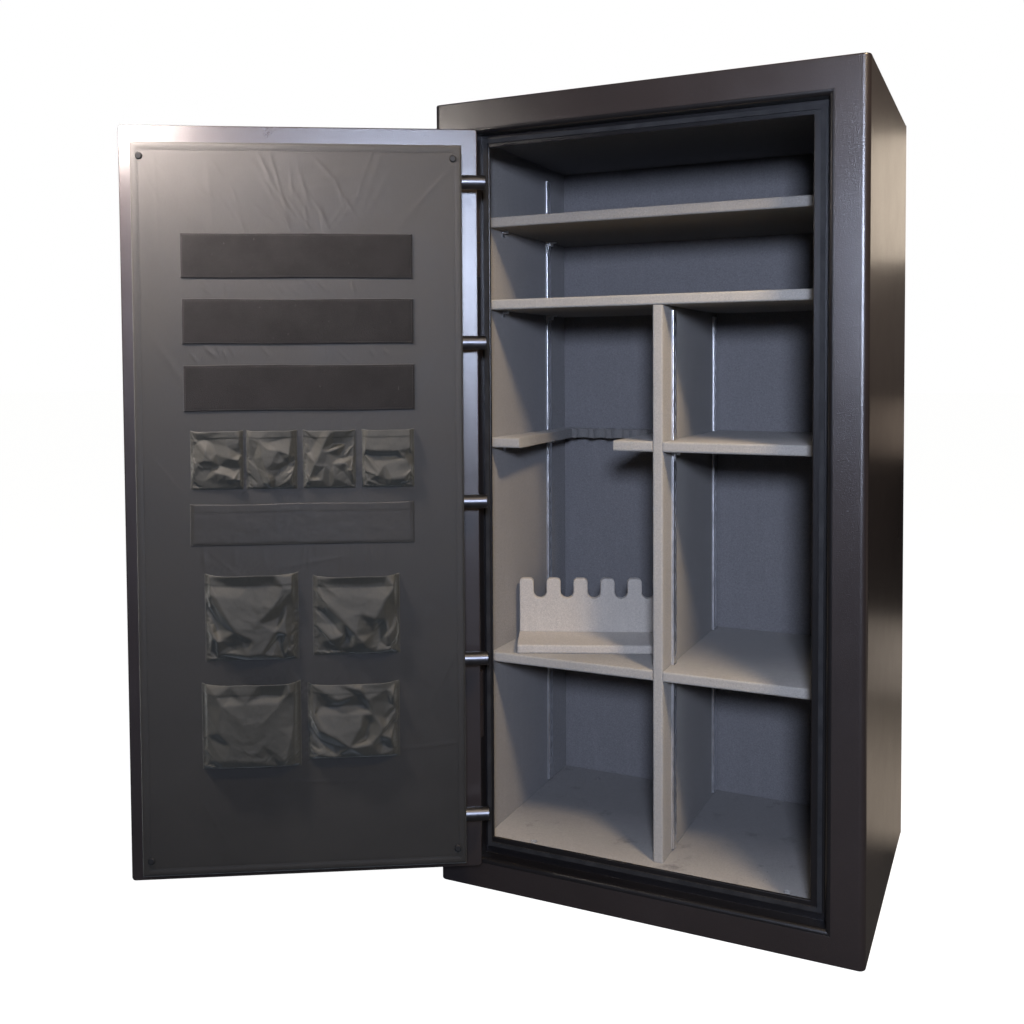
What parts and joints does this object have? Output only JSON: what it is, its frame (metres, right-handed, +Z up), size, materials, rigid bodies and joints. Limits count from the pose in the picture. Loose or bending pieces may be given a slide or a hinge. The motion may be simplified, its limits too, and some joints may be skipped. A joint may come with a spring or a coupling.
{
  "type": "gun safe",
  "caption": "Free-standing steel gun safe with its door swung open, carpeted shelves, centre divider, barrel rest, loose gun rack and a fabric door organizer.",
  "frame": {"origin": "centre of the cabinet's footprint on the floor, on the underside of the base", "axes": "+Z up, the door opening faces -Y, +X is the opening side of the closed door and the hinges are on the -X side"},
  "size_m": [1.2501, 0.9987, 1.5],
  "materials": {
    "powder_coat": "fine-textured semi-gloss powder coat",
    "jamb_paint": "satin black paint",
    "gypsum": "paper-faced gypsum fireboard",
    "carpet": "short grey-taupe needle-punch carpet",
    "carpet_wall": "short grey-taupe needle-punch carpet",
    "zinc": "bright zinc plate",
    "bolt_steel": "polished hard chrome",
    "mild_steel": "plain machined steel",
    "brass": "turned brass",
    "black_rubber": "matte graphite seal",
    "handle_chrome": "polished chrome",
    "dial_black": null,
    "nylon_guide": "natural nylon",
    "panel_board": "brown hardboard",
    "organizer_cloth": "dark olive-grey woven nylon",
    "loop_cloth": "black brushed loop strip",
    "pocket_cloth": "crumpled olive-grey woven nylon",
    "rivet_black": "black snap rivet"
  },
  "bodies": {
    "cabinet": {"back_plate": "powder_coat", "barrel_rest": "carpet", "body_shell": "powder_coat", "carpet_back": "carpet_wall", "carpet_ceiling": "carpet_wall", "carpet_floor": "carpet_wall", "carpet_left": "carpet_wall", "carpet_right": "carpet_wall", "divider": "carpet", "door_frame": "jamb_paint", "fire_seal": "black_rubber", "fireboard_back": "gypsum", "fireboard_bottom": "gypsum", "fireboard_left": "gypsum", "fireboard_right": "gypsum", "fireboard_top": "gypsum", "gun_rack_base": "carpet", "gun_rack_comb": "carpet", "hinge_frame_leaves": "powder_coat", "hinge_pins": "mild_steel", "hinge_washers": "brass", "shelf_clips": "zinc", "shelf_left_lower": "carpet", "shelf_right_lower": "carpet", "shelf_right_upper": "carpet", "shelf_second": "carpet", "shelf_standards": "zinc", "shelf_top": "carpet"},
    "door": {"bolt_box": "powder_coat", "bolt_guides": "brass", "carriage_guides": "nylon_guide", "dial_ring": "handle_chrome", "document_pocket": "pocket_cloth", "door_fireboard": "gypsum", "door_plate": "powder_coat", "fixed_hinge_bolts": "bolt_steel", "handle_bushing": "brass", "hardplate": "mild_steel", "hinge_door_leaves": "powder_coat", "inner_panel": "panel_board", "large_pockets": "pocket_cloth", "lock_case": "zinc", "lock_cover": "zinc", "loop_strips": "loop_cloth", "medium_pockets": "pocket_cloth", "organizer_fabric": "organizer_cloth", "panel_rivets": "rivet_black", "small_pockets": "pocket_cloth"},
    "bolt_carriage": {"latch_bolts": "bolt_steel", "carriage_bar": "mild_steel", "drive_rack": "mild_steel"},
    "handle": {"handle_shaft": "mild_steel", "handle_hub": "handle_chrome", "handle_spokes": "handle_chrome", "drive_pinion": "mild_steel"},
    "dial_train": {"dial": "dial_black", "dial_spindle": "brass", "wheel_pack": "brass"},
    "lock_bolt_slide": {"lock_bolt": "brass"}
  },
  "joints": [
    {"name": "door_swing", "type": "hinge", "parent": "cabinet", "child": "door", "pos_m": [-0.307, -0.3086, 0.3], "axis": [0, 0, 1], "range_deg": [-28, 150]},
    {"name": "handle_turn", "type": "hinge", "parent": "door", "child": "handle", "pos_m": [-0.63942, -0.49083, 0.72], "axis": [-0.5, 0.866, 0], "range_deg": [0, 90]},
    {"name": "bolt_throw", "type": "slide", "parent": "door", "child": "bolt_carriage", "axis": [-0.866, -0.5, 0], "range_m": [0, 0.032]},
    {"name": "lock_bolt_throw", "type": "slide", "parent": "door", "child": "lock_bolt_slide", "axis": [0, 0, -1], "range_m": [0, 0.013]},
    {"name": "dial_turn", "type": "hinge", "parent": "door", "child": "dial_train", "pos_m": [-0.61344, -0.47582, 0.9], "axis": [-0.5, 0.866, 0], "continuous": true}
  ],
  "couplings": [
    {"joint": "bolt_throw", "follows": "handle_turn", "m_per_rad": 0.02},
    {"joint": "lock_bolt_throw", "follows": "handle_turn", "m_per_rad": 0.008}
  ]
}
